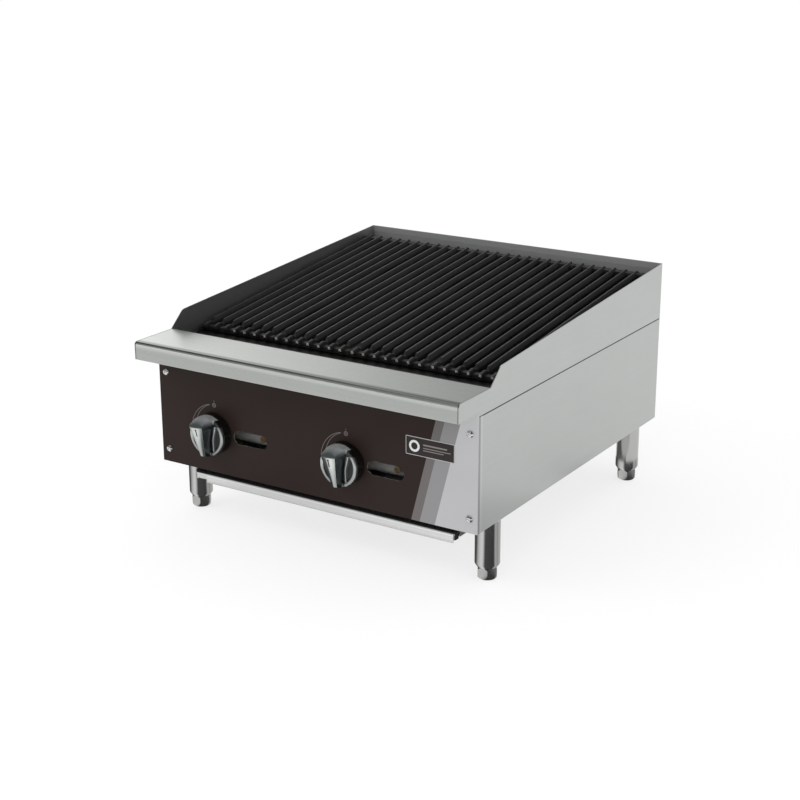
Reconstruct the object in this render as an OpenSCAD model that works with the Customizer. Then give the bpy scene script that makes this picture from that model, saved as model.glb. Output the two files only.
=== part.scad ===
// Countertop gas charbroiler: sheet-metal body on four legs, two knobs,
// four sloping cast-iron grates, drip tray under the body.
// Frame: +X right, +Y to the back, +Z up, origin on the counter under the
// centre of the body. Millimetres.

/* [Body] */
// Overall width of the body
body_w = 610; // [600:1:620]
// Overall depth, front of the ledge to the back panel
body_d = 701; // [690:1:710]
// Height of the splash guard at the back
body_h = 386; // [382:1:392]
// Height of the underside of the body above the counter
body_z = 100; // [98:1:102]
// Thickness of the outer sheets
sheet = 1.2; // [1:0.1:1.5]
// Height of the seam between lower and upper side panels
seam_z = 285.5; // [284:0.5:287]
// Gap that shows at the seam
seam_gap = 0.8; // [0.5:0.1:1]

/* [Ledge] */
// Height of the ledge top
ledge_z = 321.5; // [320:0.5:323]
// Height of the front face of the ledge
ledge_h = 30; // [28:1:31]
// Ledge overhang in front of the control panel
ledge_out = 57; // [50:1:60]
// Depth of the flat ledge top
ledge_d = 91.5; // [85:0.5:95]
// Radius of the bend along the front edge
ledge_r = 6; // [4:0.5:8]

/* [Splash guard] */
// Height of the bend where the guard meets its long slope
knee_z = 348.6; // [344:0.2:352]
// Run of the short slope, from the ledge to the bend
knee_run = 29.5; // [25:0.5:34]

/* [Controls] */
// X of the left knob
knob_x1 = -191.4; // [-195:0.2:-188]
// X of the right knob
knob_x2 = 69; // [66:0.5:72]
// Height of the knob axis
knob_z = 170; // [166:1:174]
// Distance from a knob to its lighting slot
slot_dx = 72.5; // [68:0.5:76]
// Length of a lighting slot
slot_l = 68; // [60:1:72]
// Height of a lighting slot
slot_h = 24; // [20:1:26]
// Radius of the knob at its base
knob_r = 35; // [33:0.5:36]
// How far a knob stands out from the panel
knob_out = 49; // [46:1:50]
// Half distance between panel screws across the body
screw_x = 291; // [288:1:293]

/* [Grates] */
// Rise of the grates towards the back, in degrees
grate_a = 6.1; // [5:0.1:6.5]
// Centre distance of neighbouring grates
grate_p = 151; // [150.8:0.1:151.2]
// Width of one grate
grate_w = 150.2; // [149:0.1:150.4]
// Distance between bars in a grate
bar_p = 21.18; // [20.6:0.02:21.4]
// Width of the top of a bar
bar_top = 4; // [3:0.5:5]
// Depth of a bar
bar_d = 16; // [14:0.5:17]
// Length of a bar along the slope
bar_l = 493; // [480:1:505]

/* [Drip tray] */
// Half width of the tray's pull lip
lip_x = 254.5; // [250:0.5:256]
// How far the lip sits behind the control panel
lip_in = 19; // [16:1:24]

/* [Legs] */
// Half distance between the legs across the body
leg_x = 284.3; // [282:0.1:285]
// Y of the front legs
leg_y1 = -224.5; // [-230:0.5:-220]
// Y of the back legs
leg_y2 = 281.5; // [276:0.5:286]
// Radius of a leg tube
leg_r = 20; // [18:0.5:21]

/* [Burners] */
// Distance between the two legs of a burner
burner_p = 130; // [126:1:132]
// Height of the burner axis
burner_z = 134; // [132:1:138]
// Outer radius of a burner tube
burner_r = 19; // [17:0.5:20]

/* [Hidden] */
$fn = 48;

steel = [0.78, 0.79, 0.78];
dark = [0.20, 0.16, 0.15];
iron = [0.15, 0.15, 0.15];
brass = [0.80, 0.65, 0.35];

xo = body_w / 2;               // outer face of the side panels
xi = xo - sheet;               // inner face of the side panels
yb = body_d / 2;               // outer face of the back
yi = yb - sheet;               // inner face of the back
yf = -yb;                      // front of the ledge
yp = yf + ledge_out;           // outer face of the control panel
panel_t = 1.5;
ypi = yp + panel_t;            // inner face of the control panel
yl = yf + ledge_d;             // back edge of the ledge
lz = ledge_z - ledge_h;        // underside of the ledge
up_z = seam_z + seam_gap;      // lower edge of the upper panels
slot_x = [knob_x1 + slot_dx, knob_x2 + slot_dx];
knob_x = [knob_x1, knob_x2];
screw_z = [123, 257.5];
liner_x = 252;                 // inner face of the firebox sides
shield_y = -212.2;             // front face of the heat shield
trough_z = 298.2;              // floor between the ledge and the grates
pipe_y = -241.5;               // manifold axis
pipe_z = 155;
pipe_r = 10.65;                // half inch pipe
inlet_r = 13.335;              // three-quarter inch pipe
inlet_x = 272;
grate_y = -165;                // front end of the bar tops
grate_z = 321.8;
foot_h = 20;                   // counter to the underside of a leg

// points of an arc, centre c, radius r, from angle a0 to a1
function arc(c, r, a0, a1, n) =
    [for (i = [0:n]) c + r * [cos(a0 + (a1 - a0) * i / n), sin(a0 + (a1 - a0) * i / n)]];

// extrudes a (Y, Z) outline along X from x0 to x1
module along_x(x0, x1) {
    translate([x0, 0, 0]) rotate([90, 0, 90]) linear_extrude(x1 - x0) children();
}
// cylinder along +Y from y0 to y1
module cyl_y(r, x, z, y0, y1, fn = 48) {
    translate([x, y1, z]) rotate([90, 0, 0]) cylinder(r = r, h = y1 - y0, $fn = fn);
}
// box between two corners
module span(a, b) { translate(a) cube(b - a); }

// ---------- outer sheets ----------

// lower side panel with its four inward flanges; s is -1 left, 1 right
module side_panel(s) {
    color(steel) difference() {
        union() {
            span([min(s * xo, s * xi), ypi, body_z], [max(s * xo, s * xi), yb, seam_z]);
            // front flange behind the control panel
            span([min(s * xi, s * (xo - 30)), ypi, body_z], [max(s * xi, s * (xo - 30)), ypi + sheet, seam_z]);
            // bottom flange
            span([min(s * xi, s * 280), ypi + sheet, body_z], [max(s * xi, s * 280), yi - sheet, body_z + sheet]);
            // top flange
            span([min(s * xi, s * 284), ypi + sheet, seam_z - sheet], [max(s * xi, s * 284), yi - sheet, seam_z]);
            // back flange
            span([min(s * xi, s * 284), yi - sheet, body_z], [max(s * xi, s * 284), yi, seam_z]);
        }
        for (y = [leg_y1, leg_y2]) translate([s * leg_x, y, body_z - 1]) cylinder(r = 5.2, h = 4, $fn = 32);
        for (z = screw_z) cyl_y(2.6, s * screw_x, z, ypi - 1, ypi + 3, 24);
        // room for the coupling on the gas inlet
        if (s > 0) cyl_y(24, inlet_x, pipe_z, yi - 3, yb + 2, 64);
    }
}
module left_side_panel() { side_panel(-1); }
module right_side_panel() { side_panel(1); }

module rear_panel() {
    color(steel) difference() {
        span([-xi, yi, body_z], [xi, yb, seam_z]);
        cyl_y(24, inlet_x, pipe_z, yi - 2, yb + 2, 64);
    }
}

module control_panel() {
    color(dark) difference() {
        union() {
            span([-xo, yp, body_z], [xo, ypi, lz]);
            span([-268, ypi, body_z], [268, ypi + 16, body_z + panel_t]);
        }
        for (x = knob_x) cyl_y(9, x, knob_z, yp - 2, ypi + 2);
        for (x = slot_x) {
            for (s = [-1, 1]) cyl_y(slot_h / 2, x + s * (slot_l - slot_h) / 2, knob_z, yp - 2, ypi + 2);
            span([x - (slot_l - slot_h) / 2, yp - 2, knob_z - slot_h / 2], [x + (slot_l - slot_h) / 2, ypi + 2, knob_z + slot_h / 2]);
        }
        for (x = [-screw_x, screw_x], z = screw_z) cyl_y(2.6, x, z, yp - 2, ypi + 2, 24);
    }
}

// section of the ledge sheet, in (Y, Z)
module ledge_section(t) {
    difference() {
        union() {
            translate([yf + ledge_r, lz]) square([ledge_d - ledge_r, ledge_h]);
            translate([yf, lz]) square([ledge_r + 1, ledge_h - ledge_r]);
            translate([yf + ledge_r, ledge_z - ledge_r]) circle(r = ledge_r, $fn = 64);
        }
        // inside of the fold
        translate([yf + ledge_r, lz + t]) square([ledge_d - ledge_r - t, ledge_h - 2 * t]);
        translate([yf + t, lz + t]) square([ledge_r, ledge_h - ledge_r - t]);
        translate([yf + ledge_r, ledge_z - ledge_r]) circle(r = ledge_r - t, $fn = 64);
        // open underside behind the control panel
        translate([ypi + 12, lz - 1]) square([yl - ypi - 12 + 1, t + 5]);
    }
}
module front_ledge() { color(steel) along_x(-xi, xi) ledge_section(1.5); }

// outline of the upper side panel, in (Y, Z)
function splash_pts() = concat(
    [[yf, lz]], arc([yf + ledge_r, ledge_z - ledge_r], ledge_r, 180, 90, 8),
    [[yl, ledge_z]],
    arc([yl + knee_run + 6, knee_z - 12], 12, 136, 94, 8),
    [[yb, body_h], [yb, up_z], [ypi, up_z], [ypi, lz]]);
module splash(s) {
    color(steel) union() {
        along_x(min(s * xo, s * xi), max(s * xo, s * xi)) polygon(splash_pts());
        // flange that sits on the lower panel
        span([min(s * xi, s * 284), ypi + 4, seam_z], [max(s * xi, s * 284), yi, seam_z + sheet]);
    }
}
module left_splash() { splash(-1); }
module right_splash() { splash(1); }

module rear_splash() {
    color(steel) union() {
        span([-xi, yi, up_z], [xi, yb, body_h]);
        span([-xi, yi - 0.6, body_h - 12], [xi, yb, body_h]);
        span([-284, yi - 10, seam_z], [284, yi, seam_z + sheet]);
        span([-284, yi, seam_z], [284, yb - 0.2, up_z]);
    }
}

// ---------- base frame ----------

module front_rail() {
    color(steel) union() {
        span([-xi, ypi + sheet, 101.5], [xi, yl, 104]);
        span([-268, ypi + sheet, 104], [268, ypi + sheet + 2.5, 124]);
    }
}
module rear_rail() {
    color(steel) union() {
        span([-253.2, 318, 101.2], [253.2, 348.1, 103.7]);
        span([-252, 345.6, 103.7], [252, 348.1, 126]);
    }
}
module side_rail(s) {
    color(steel) difference() {
        union() {
            span([min(s * 253.2, s * xi), yl, 101.2], [max(s * 253.2, s * xi), yi - sheet, 103.7]);
            span([min(s * 253.2, s * 255.7), yl, 103.7], [max(s * 253.2, s * 255.7), yi - sheet, 126]);
        }
        for (y = [leg_y1, leg_y2]) translate([s * leg_x, y, 100]) cylinder(r = 5.2, h = 6, $fn = 32);
    }
}
module side_rail_left() { side_rail(-1); }
module side_rail_right() { side_rail(1); }

// ---------- firebox ----------

module grate_rest_front() {
    color(steel) union() {
        span([-xi, shield_y + sheet, 300.2], [xi, -165, 302]);
        span([-251.5, shield_y + sheet, 270], [251.5, shield_y + sheet + 1.8, 300.2]);
    }
}
module grate_rest_rear() {
    color(steel) union() {
        span([-xi, 306, 353.8], [xi, yi, 355.6]);
        span([-xi, yi - 1.8, 330], [xi, yi, 353.8]);
    }
}
module liner(s) {
    color(steel) union() {
        span([min(s * liner_x, s * (liner_x + 1.2)), shield_y + 1.2, 103.7], [max(s * liner_x, s * (liner_x + 1.2)), 337.2, 300]);
        span([min(s * liner_x, s * xi), -209.2, 298.8], [max(s * liner_x, s * xi), yi - 1.8, 300]);
    }
}
module liner_left() { liner(-1); }
module liner_right() { liner(1); }
module liner_rear() {
    color(steel) union() {
        span([-liner_x, 336, 103.7], [liner_x, 337.2, 350]);
        span([-liner_x, 337.2, 348.8], [liner_x, 347.5, 350]);
    }
}
module heat_shield() {
    color(steel) difference() {
        union() {
            span([-liner_x, shield_y, 104], [liner_x, shield_y + 1.2, trough_z]);
            span([-xi, yl, trough_z - 1.2], [xi, shield_y, trough_z]);
            span([-xi, shield_y, 290], [xi, shield_y + 1.2, 304.6]);
        }
        for (x = knob_x) cyl_y(18, x, burner_z, shield_y - 2, shield_y + 4);
        for (x = slot_x) cyl_y(2, x + 2, 176, shield_y - 2, shield_y + 4, 24);
    }
}
module radiant_rest(y) {
    color(steel) union() {
        span([-liner_x, y, 203.2], [liner_x, y + 20, 205]);
        span([-liner_x, y + (y < 0 ? 0 : 18.2), 190], [liner_x, y + (y < 0 ? 1.8 : 20), 203.2]);
    }
}
module radiant_rest_front() { radiant_rest(-196); }
module radiant_rest_rear() { radiant_rest(300); }
module burner_rest() {
    color(steel) union() {
        span([-liner_x, 296, burner_z - burner_r - 1.8], [liner_x, 314, burner_z - burner_r]);
        span([-liner_x, 312, 104], [liner_x, 314, burner_z - burner_r - 1.8]);
    }
}
// inverted V casting that spreads the heat of one burner leg
module radiant(x) {
    color(iron) translate([x, -190, 0]) rotate([90, 0, 180]) linear_extrude(500)
        polygon([[-50, 205], [-3, 252], [3, 252], [50, 205], [45, 205], [0, 248.5], [-45, 205]]);
}
module radiant_1() { radiant(knob_x1); }
module radiant_2() { radiant(knob_x1 + burner_p); }
module radiant_3() { radiant(knob_x2); }
module radiant_4() { radiant(knob_x2 + burner_p); }

// ---------- burners and gas train ----------

module burner(x) {
    color(iron) difference() {
        union() {
            cyl_y(17, x, burner_z, -222, -160);
            cyl_y(19.7, x, burner_z, -228, -220);
            cyl_y(burner_r, x, burner_z, -170, 310);
            cyl_y(burner_r, x + burner_p, burner_z, -170, 310);
            translate([x, -151, burner_z]) rotate([0, 90, 0]) cylinder(r = burner_r, h = burner_p);
        }
        cyl_y(14, x, burner_z, -230, -160);
        cyl_y(burner_r - 3, x, burner_z, -167, 307);
        cyl_y(burner_r - 3, x + burner_p, burner_z, -167, 307);
        translate([x, -151, burner_z]) rotate([0, 90, 0]) cylinder(r = burner_r - 3, h = burner_p);
        for (dx = [0, burner_p], i = [0:13])
            span([x + dx - 9, -110 + i * 30, burner_z + 8], [x + dx + 9, -108.4 + i * 30, burner_z + burner_r + 1]);
    }
}
module burner_left() { burner(knob_x1); }
module burner_right() { burner(knob_x2); }

module air_shutter(x) {
    color(steel) difference() {
        cyl_y(21.2, x, burner_z, -229.5, -214);
        cyl_y(19.7, x, burner_z, -228, -212);
        cyl_y(7, x, burner_z, -232, -227);
        for (s = [-1, 1]) translate([x, -231, burner_z]) rotate([0, 45 * s, 0]) span([9, 0, -5], [16, 6, 5]);
        for (s = [-1, 1]) translate([x, -231, burner_z]) rotate([0, 45 * s + 180, 0]) span([9, 0, -5], [16, 6, 5]);
    }
}
module air_shutter_left() { air_shutter(knob_x1); }
module air_shutter_right() { air_shutter(knob_x2); }

module orifice(x) {
    color(brass) difference() {
        union() {
            translate([x, -234, burner_z]) rotate([90, 0, 0]) cylinder(r = 7.6, h = 8, $fn = 6);
            cyl_y(5.2, x, burner_z, -234, -221);
        }
        cyl_y(4, x, burner_z, -243, -223, 32);
        cyl_y(1, x, burner_z, -224, -220, 16);
    }
}
module orifice_left() { orifice(knob_x1); }
module orifice_right() { orifice(knob_x2); }

module valve(x) {
    color(brass) difference() {
        union() {
            cyl_y(11, x, knob_z, -282, -260);
            translate([x, -268, burner_z - 11]) cylinder(r = 9.5, h = knob_z - burner_z + 6);
            cyl_y(7.5, x, burner_z, -268, -242);
            cyl_y(7, x, 157.5, -265, -246);
        }
        translate([x - 20, pipe_y, pipe_z]) rotate([0, 90, 0]) cylinder(r = pipe_r, h = 40, $fn = 64);
        cyl_y(4.05, x, knob_z, -283, -264, 48);
        cyl_y(4, x, burner_z, -264, -241, 32);
    }
}
module valve_left() { valve(knob_x1); }
module valve_right() { valve(knob_x2); }

// turning stem, flat on top where the knob grips it
module stem(x) {
    color(brass) difference() {
        cyl_y(4, x, knob_z, -316, -265, 48);
        span([x - 5, -317, knob_z + 2.6], [x + 5, -297, knob_z + 5]);
    }
}
module stem_left() { stem(knob_x1); }
module stem_right() { stem(knob_x2); }

// round shell cut away left and right of an upright grip bar
module knob(x) {
    y0 = yp - 1.2;
    h = knob_out - 1.2;
    color([0.75, 0.75, 0.76]) translate([x, y0, knob_z]) difference() {
        union() {
            rotate([90, 0, 0]) rotate_extrude($fn = 72)
                polygon([[0, 0], [knob_r - 1, 0], [knob_r, 1], [knob_r - 0.3, 6], [knob_r - 1.6, 19.5], [knob_r - 2.6, 20.8], [knob_r - 6, 20.8], [knob_r - 8, 19], [0, 19]]);
            // grip bar with its face sloping back towards the bottom
            intersection() {
                along_x(-10, 10) polygon([[-5, -34], [-5, 33], [2.5 - h, 24.5], [-h, 21.5], [9 - h, -19], [11.5 - h, -30], [19 - h, -34]]);
                rotate([90, 0, 0]) rotate_extrude($fn = 72)
                    polygon([[0, 0], [knob_r - 1.2, 0], [knob_r - 1.2, 5], [knob_r - 4, h], [0, h]]);
            }
        }
        // D shaped socket for the stem
        difference() {
            translate([0, 1, 0]) rotate([90, 0, 0]) cylinder(r = 4.02, h = 317 + y0, $fn = 48);
            span([-5, -317 - y0, 2.62], [5, -297 - y0, 5]);
        }
    }
}
module knob_left() { knob(knob_x1); }
module knob_right() { knob(knob_x2); }

module manifold_pipe() {
    color(steel) difference() {
        union() {
            translate([-235, pipe_y, pipe_z]) rotate([0, 90, 0]) cylinder(r = pipe_r, h = 487, $fn = 64);
            translate([-243, pipe_y, pipe_z]) rotate([0, 90, 0]) cylinder(r = 14, h = 16);
            // elbow to the supply pipe
            translate([252, pipe_y, pipe_z]) rotate([0, 90, 0]) cylinder(r = 17, h = 20);
            translate([inlet_x, pipe_y, pipe_z]) sphere(r = 17);
            cyl_y(17, inlet_x, pipe_z, pipe_y, pipe_y + 20);
        }
        translate([-232, pipe_y, pipe_z]) rotate([0, 90, 0]) cylinder(r = 7.9, h = 500);
        cyl_y(inlet_r, inlet_x, pipe_z, pipe_y + 6, pipe_y + 21, 64);
        for (x = knob_x) cyl_y(3, x, 157, -255, pipe_y, 24);
    }
}
module supply_pipe() {
    color(steel) difference() {
        union() {
            cyl_y(inlet_r, inlet_x, pipe_z, pipe_y + 6, yb - 21, 64);
            cyl_y(inlet_r - 0.8, inlet_x, pipe_z, yb - 22, yb - 19, 64);
            // end that takes the gas coupling
            cyl_y(inlet_r, inlet_x, pipe_z, yb - 20, yb - 1, 64);
        }
        cyl_y(10.5, inlet_x, pipe_z, pipe_y + 5, yb, 64);
    }
}
module pilot_valve(x) {
    color(brass) difference() {
        union() {
            cyl_y(5.5, x, 162, -263, -247);
            translate([x, -256, 162]) cylinder(r = 3.4, h = 10);
        }
        translate([x - 20, pipe_y, pipe_z]) rotate([0, 90, 0]) cylinder(r = pipe_r, h = 40, $fn = 64);
        span([x - 0.6, -264, 158], [x + 0.6, -262, 166]);
    }
}
module pilot_valve_left() { pilot_valve(slot_x[0] + 2); }
module pilot_valve_right() { pilot_valve(slot_x[1] + 2); }

module pilot_tube(x) {
    color([0.75, 0.76, 0.78]) union() {
        translate([x, -256, 172]) cylinder(r = 2, h = 4, $fn = 24);
        translate([x, -256, 176]) sphere(r = 2, $fn = 24);
        cyl_y(2, x, 176, -256, -180, 24);
        cyl_y(5, x, 176, -180, -166, 24);
    }
}
module pilot_tube_left() { pilot_tube(slot_x[0] + 2); }
module pilot_tube_right() { pilot_tube(slot_x[1] + 2); }

// ---------- drip tray ----------

tray_x = 250.5;
tray_y0 = -262;
tray_y1 = 334;
tray_z = 73.9;
tray_top = 96;
module drip_tray() {
    t = 1.2;
    color(steel) union() {
        difference() {
            span([-tray_x, tray_y0, tray_z], [tray_x, tray_y1, tray_top]);
            span([-tray_x + t, tray_y0 + t, tray_z + t], [tray_x - t, tray_y1 - t, tray_top + 1]);
        }
        // rolled pull lip
        difference() {
            union() {
                along_x(-lip_x + 6, lip_x - 6) lip_section();
                for (s = [-1, 1]) translate([s * (lip_x - 6), yp + lip_in + 6, 72]) cylinder(r = 6, h = 13.5);
                for (s = [-1, 1]) span([min(s * (lip_x - 6), s * lip_x), yp + lip_in + 6, 72], [max(s * (lip_x - 6), s * lip_x), tray_y0, 85.5]);
            }
            span([-lip_x + 4, yp + lip_in + 3, 71], [lip_x - 4, tray_y0 - 1.2, 82.5]);
        }
    }
}
module lip_section() {
    y0 = yp + lip_in;
    union() {
        translate([y0 + 3, 72]) square([tray_y0 - y0 - 3, 13.5]);
        translate([y0, 75]) square([4, 7.5]);
        translate([y0 + 3, 75]) circle(r = 3, $fn = 32);
        translate([y0 + 3, 82.5]) circle(r = 3, $fn = 32);
    }
}
module tray_rail(s) {
    color(steel) union() {
        span([min(s * 251.6, s * 253.1), tray_y0 + 6, 72], [max(s * 251.6, s * 253.1), 345, 101.2]);
        span([min(s * 236, s * 251.6), tray_y0 + 6, 72], [max(s * 236, s * 251.6), 345, 73.5]);
        span([min(s * 253.1, s * 275), tray_y0 + 6, 100], [max(s * 253.1, s * 275), 345, 101.2]);
    }
}
module tray_rail_left() { tray_rail(-1); }
module tray_rail_right() { tray_rail(1); }

// ---------- legs and feet ----------

module leg(x, y) {
    color(steel) translate([x, y, 0]) difference() {
        union() {
            translate([0, 0, 26]) cylinder(r = leg_r, h = body_z - 26, $fn = 64);
            translate([0, 0, foot_h]) cylinder(r1 = leg_r - 3.5, r2 = leg_r, h = 6, $fn = 64);
            translate([0, 0, body_z]) cylinder(r = 5, h = 14, $fn = 32);
        }
        translate([0, 0, 38]) cylinder(r = leg_r - 1.6, h = body_z - 38 - 3, $fn = 64);
        translate([0, 0, foot_h - 1]) cylinder(r = 8.05, h = 30, $fn = 48);
    }
}
module leg_front_left() { leg(-leg_x, leg_y1); }
module leg_front_right() { leg(leg_x, leg_y1); }
module leg_back_left() { leg(-leg_x, leg_y2); }
module leg_back_right() { leg(leg_x, leg_y2); }

module foot(x, y) {
    color(steel) translate([x, y, 0]) union() {
        intersection() {
            translate([0, 0, 0]) cylinder(r = 17.2, h = foot_h - 0.3, $fn = 6);
            rotate_extrude($fn = 64)
                polygon(concat([[0, 0]], arc([11, 5], 5, -90, -20, 6), [[17.2, 9], [17.2, foot_h - 3], [15.2, foot_h - 0.3], [0, foot_h - 0.3]]));
        }
        cylinder(r = 8, h = 72, $fn = 48);
    }
}
module foot_front_left() { foot(-leg_x, leg_y1); }
module foot_front_right() { foot(leg_x, leg_y1); }
module foot_back_left() { foot(-leg_x, leg_y2); }
module foot_back_right() { foot(leg_x, leg_y2); }

// ---------- grates ----------

// one casting: seven ridged bars on cross ribs, side flanges, drooping nose
module grate(i) {
    hw = grate_w / 2;
    color(iron) translate([(i - 2.5) * grate_p, grate_y, grate_z]) rotate([grate_a, 0, 0]) union() {
        for (k = [-3:3]) translate([k * bar_p, 0, 0]) {
            translate([0, bar_l, 0]) rotate([90, 0, 0]) linear_extrude(bar_l)
                polygon([[-bar_top / 2, 0], [bar_top / 2, 0], [4.6, -7], [3.6, -bar_d], [-3.6, -bar_d], [-4.6, -7]]);
            // nose at the front end of the bar
            rotate([90, 0, 90]) translate([0, 0, -3.4]) linear_extrude(6.8)
                polygon([[0.5, -2.5], [-5, -5.5], [-9, -3.2], [-13, -3.4], [-23.5, -6.6], [-27, -9], [-27, -12], [-23.5, -14.5], [0.5, -14.5]]);
        }
        // front and back cross rails
        span([-hw, -19, -bar_d - 1.6], [hw, -9, -8.5]);
        span([-hw, bar_l - 12, -bar_d], [hw, bar_l, -5]);
        // cross ribs
        for (y = [0.25, 0.5, 0.75]) span([-hw, bar_l * y - 3, -14], [hw, bar_l * y + 3, -8]);
        // side flanges
        for (s = [-1, 1]) span([min(s * 3 * bar_p, s * hw), -9, -9.5], [max(s * 3 * bar_p, s * hw), bar_l, -5]);
    }
}
module grate_1() { grate(1); }
module grate_2() { grate(2); }
module grate_3() { grate(3); }
module grate_4() { grate(4); }

module panel_screws() {
    color(steel) for (x = [-screw_x, screw_x], z = screw_z) translate([x, yp, z]) rotate([90, 0, 0]) difference() {
        union() {
            rotate_extrude($fn = 48) polygon(concat([[0, 0], [5.5, 0]], arc([1.5, -1.2], 4.6, 16, 75, 8), [[0, 3.3]]));
            translate([0, 0, -9]) cylinder(r = 2.5, h = 10, $fn = 24);
        }
        for (a = [0, 90]) rotate([0, 0, a]) span([-2.6, -0.5, 2], [2.6, 0.5, 4]);
    }
}

left_side_panel();
right_side_panel();
rear_panel();
control_panel();
front_ledge();
left_splash();
right_splash();
rear_splash();
front_rail();
rear_rail();
side_rail_left();
side_rail_right();
grate_rest_front();
grate_rest_rear();
liner_left();
liner_right();
liner_rear();
heat_shield();
radiant_rest_front();
radiant_rest_rear();
burner_rest();
radiant_1();
radiant_2();
radiant_3();
radiant_4();
burner_left();
burner_right();
air_shutter_left();
air_shutter_right();
orifice_left();
orifice_right();
valve_left();
valve_right();
stem_left();
stem_right();
knob_left();
knob_right();
manifold_pipe();
supply_pipe();
pilot_valve_left();
pilot_valve_right();
pilot_tube_left();
pilot_tube_right();
drip_tray();
tray_rail_left();
tray_rail_right();
leg_front_left();
leg_front_right();
leg_back_left();
leg_back_right();
foot_front_left();
foot_front_right();
foot_back_left();
foot_back_right();
grate_1();
grate_2();
grate_3();
grate_4();
panel_screws();
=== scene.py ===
import math
import random

import bmesh
import bpy
from mathutils import Matrix, Vector


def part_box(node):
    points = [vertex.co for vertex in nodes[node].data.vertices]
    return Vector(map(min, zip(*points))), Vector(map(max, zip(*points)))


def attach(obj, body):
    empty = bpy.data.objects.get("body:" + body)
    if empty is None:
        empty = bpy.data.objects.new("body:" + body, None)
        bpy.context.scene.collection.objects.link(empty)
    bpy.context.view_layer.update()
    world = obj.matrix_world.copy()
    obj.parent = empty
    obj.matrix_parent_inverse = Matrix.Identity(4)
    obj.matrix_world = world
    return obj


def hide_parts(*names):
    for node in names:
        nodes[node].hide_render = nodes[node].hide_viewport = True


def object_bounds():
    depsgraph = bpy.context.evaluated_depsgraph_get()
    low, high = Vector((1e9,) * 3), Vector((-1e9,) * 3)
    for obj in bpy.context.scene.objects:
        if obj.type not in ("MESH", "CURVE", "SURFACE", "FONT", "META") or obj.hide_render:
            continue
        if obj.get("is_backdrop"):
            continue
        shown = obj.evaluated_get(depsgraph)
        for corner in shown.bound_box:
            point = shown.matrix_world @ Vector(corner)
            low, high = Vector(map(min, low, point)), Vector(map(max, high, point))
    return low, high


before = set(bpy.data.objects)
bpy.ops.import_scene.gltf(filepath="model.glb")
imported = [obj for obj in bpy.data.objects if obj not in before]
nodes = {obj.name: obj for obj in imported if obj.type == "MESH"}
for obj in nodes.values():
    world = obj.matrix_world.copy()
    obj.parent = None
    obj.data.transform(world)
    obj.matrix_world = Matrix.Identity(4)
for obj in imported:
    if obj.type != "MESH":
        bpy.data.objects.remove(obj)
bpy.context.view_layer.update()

MM = 0.001
random.seed(7)

# ------------------------------------------------------------------ materials


class Graph:
    """A small helper round one material's node tree."""

    def __init__(self, name):
        self.m = bpy.data.materials.new(name)
        self.m.use_nodes = True
        self.nt = self.m.node_tree
        self.nt.nodes.clear()
        self.out = self.nt.nodes.new("ShaderNodeOutputMaterial")
        self.bsdf = self.nt.nodes.new("ShaderNodeBsdfPrincipled")
        self.nt.links.new(self.bsdf.outputs[0], self.out.inputs[0])
        self.obj = self.nt.nodes.new("ShaderNodeTexCoord").outputs["Object"]

    def link(self, a, b):
        self.nt.links.new(a, b)

    def set(self, **kw):
        for k, v in kw.items():
            self.bsdf.inputs[k.replace("_", " ")].default_value = v

    def put(self, socket, value):
        if hasattr(value, "is_output"):
            self.link(value, socket)
        else:
            socket.default_value = value

    def math(self, op, a, b=0.0, c=None, clamp=False):
        n = self.nt.nodes.new("ShaderNodeMath")
        n.operation = op
        n.use_clamp = clamp
        self.put(n.inputs[0], a)
        self.put(n.inputs[1], b)
        if c is not None:
            self.put(n.inputs[2], c)
        return n.outputs[0]

    def xyz(self, vec=None):
        n = self.nt.nodes.new("ShaderNodeSeparateXYZ")
        self.link(vec or self.obj, n.inputs[0])
        return n.outputs

    def scaled(self, s, vec=None, offset=(0, 0, 0)):
        n = self.nt.nodes.new("ShaderNodeMapping")
        n.inputs["Scale"].default_value = s
        n.inputs["Location"].default_value = offset
        self.link(vec or self.obj, n.inputs[0])
        return n.outputs[0]

    def noise(self, scale=1.0, detail=2.0, rough=0.5, vec=None):
        n = self.nt.nodes.new("ShaderNodeTexNoise")
        n.inputs["Scale"].default_value = scale
        n.inputs["Detail"].default_value = detail
        n.inputs["Roughness"].default_value = rough
        self.link(vec or self.obj, n.inputs["Vector"])
        return n.outputs["Fac"]

    def remap(self, v, a, b, c, d, smooth=False):
        n = self.nt.nodes.new("ShaderNodeMapRange")
        if smooth:
            n.interpolation_type = "SMOOTHSTEP"
        self.put(n.inputs["Value"], v)
        for key, val in (("From Min", a), ("From Max", b), ("To Min", c), ("To Max", d)):
            n.inputs[key].default_value = val
        return n.outputs["Result"]

    def mix_value(self, a, b, fac):
        n = self.nt.nodes.new("ShaderNodeMix")
        n.data_type = "FLOAT"
        self.put(n.inputs[0], fac)
        self.put(n.inputs[2], a)
        self.put(n.inputs[3], b)
        return n.outputs[0]

    def mix(self, fac, a, b, blend="MIX"):
        n = self.nt.nodes.new("ShaderNodeMix")
        n.data_type = "RGBA"
        n.blend_type = blend
        self.put(n.inputs["Factor"], fac)
        for sock, val in ((n.inputs[6], a), (n.inputs[7], b)):
            if hasattr(val, "is_output"):
                self.link(val, sock)
            else:
                sock.default_value = (*val, 1.0) if len(val) == 3 else val
        return n.outputs[2]

    def bump(self, height, strength, distance, normal=None):
        n = self.nt.nodes.new("ShaderNodeBump")
        n.inputs["Strength"].default_value = strength
        n.inputs["Distance"].default_value = distance
        self.link(height, n.inputs["Height"])
        if normal is not None:
            self.link(normal, n.inputs["Normal"])
        return n.outputs[0]

    def colour(self, v):
        self.put(self.bsdf.inputs["Base Color"], v)

    def rough(self, v):
        self.put(self.bsdf.inputs["Roughness"], v)

    def normal(self, v):
        self.link(v, self.bsdf.inputs["Normal"])


def tone(c, k):
    return tuple(min(1.0, v * k) for v in c)


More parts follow.
